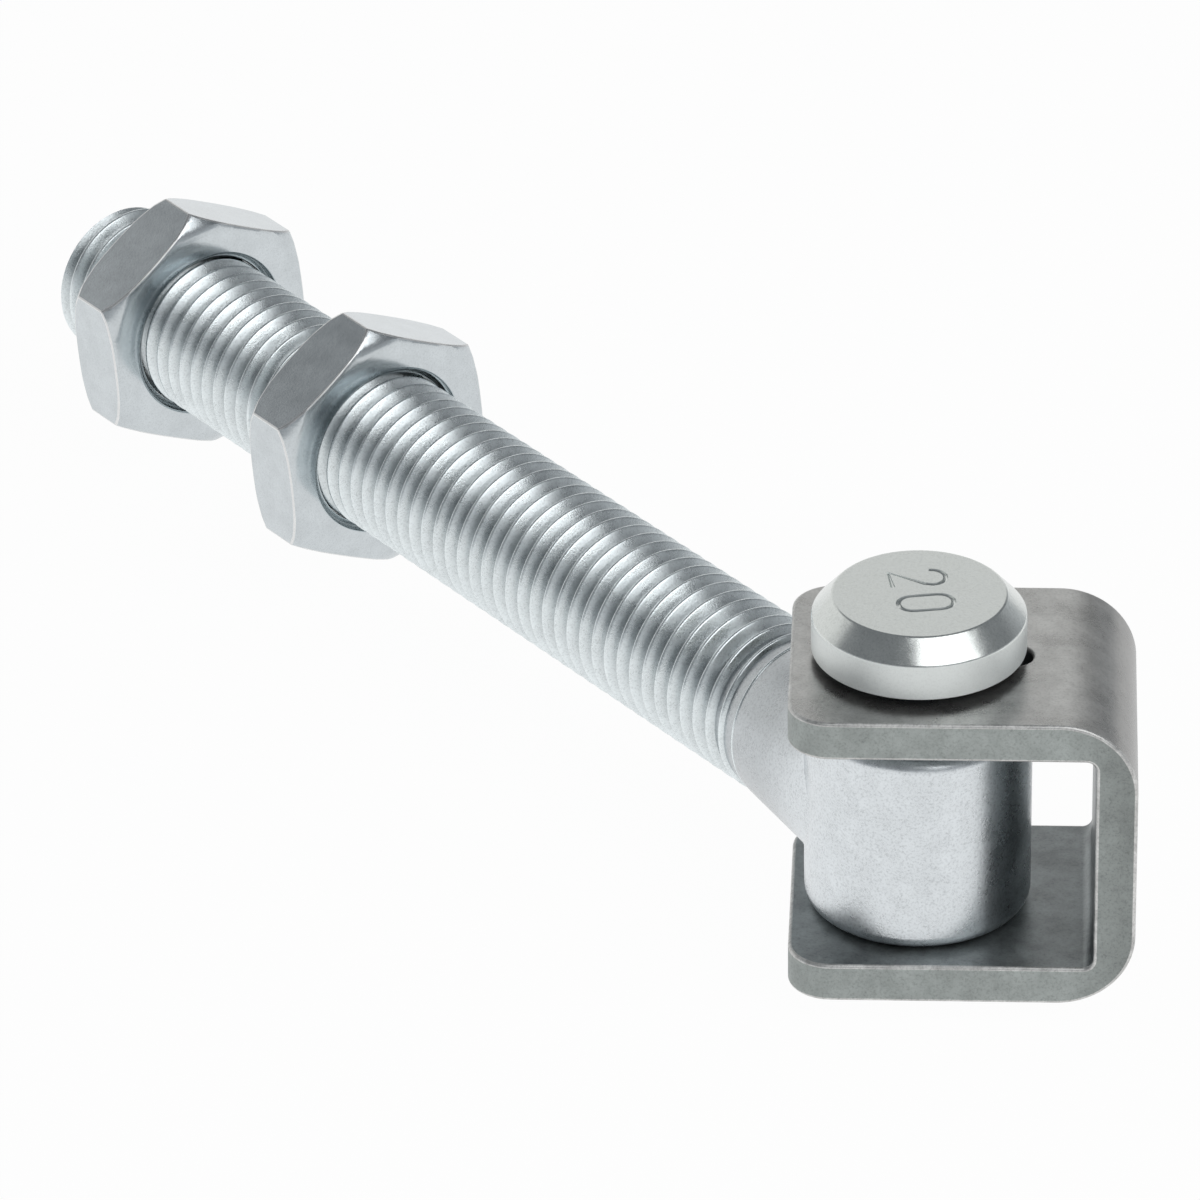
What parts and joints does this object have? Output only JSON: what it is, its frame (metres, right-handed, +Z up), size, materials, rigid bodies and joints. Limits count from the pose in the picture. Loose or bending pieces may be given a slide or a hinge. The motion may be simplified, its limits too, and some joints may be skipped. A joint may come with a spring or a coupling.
{
  "type": "adjustable gate hinge",
  "caption": "Weld-on U bracket whose headed pin carries a swinging eye bolt; hex nuts on the bolt's long threaded shank clamp the gate and set its distance.",
  "frame": {"origin": "centre of the weld face, the outside of the bracket's web", "axes": "+X out of the weld face towards the post, +Z up along the hinge pin towards its head"},
  "size_m": [0.1368, 0.1504, 0.0482],
  "materials": {
    "raw_steel": "raw mild steel strip",
    "turned_steel": "turned steel",
    "spring_steel": "dark phosphated spring steel",
    "zinc_forging": "bright zinc plate on a forging",
    "zinc_nut": "bright zinc plate"
  },
  "bodies": {
    "bracket": {"u_bracket": "raw_steel", "hinge_pin": "turned_steel", "retaining_ring": "spring_steel"},
    "eye_bolt": {"eye_bolt": "zinc_forging"},
    "inner_nut": {"inner_nut": "zinc_nut"},
    "outer_nut": {"outer_nut": "zinc_nut"}
  },
  "joints": [
    {"name": "swing", "type": "hinge", "parent": "bracket", "child": "eye_bolt", "pos_m": [-0.0252, 0, -0.00085], "axis": [0, 0, 1], "range_deg": [-67, 168.8]},
    {"name": "inner_nut_travel", "type": "slide", "parent": "eye_bolt", "child": "inner_nut", "axis": [-0.6307, 0.776, 0], "range_m": [-0.078, 0.0142]},
    {"name": "outer_nut_travel", "type": "slide", "parent": "eye_bolt", "child": "outer_nut", "axis": [-0.6307, 0.776, 0], "range_m": [-0.0142, 0.0104]}
  ]
}
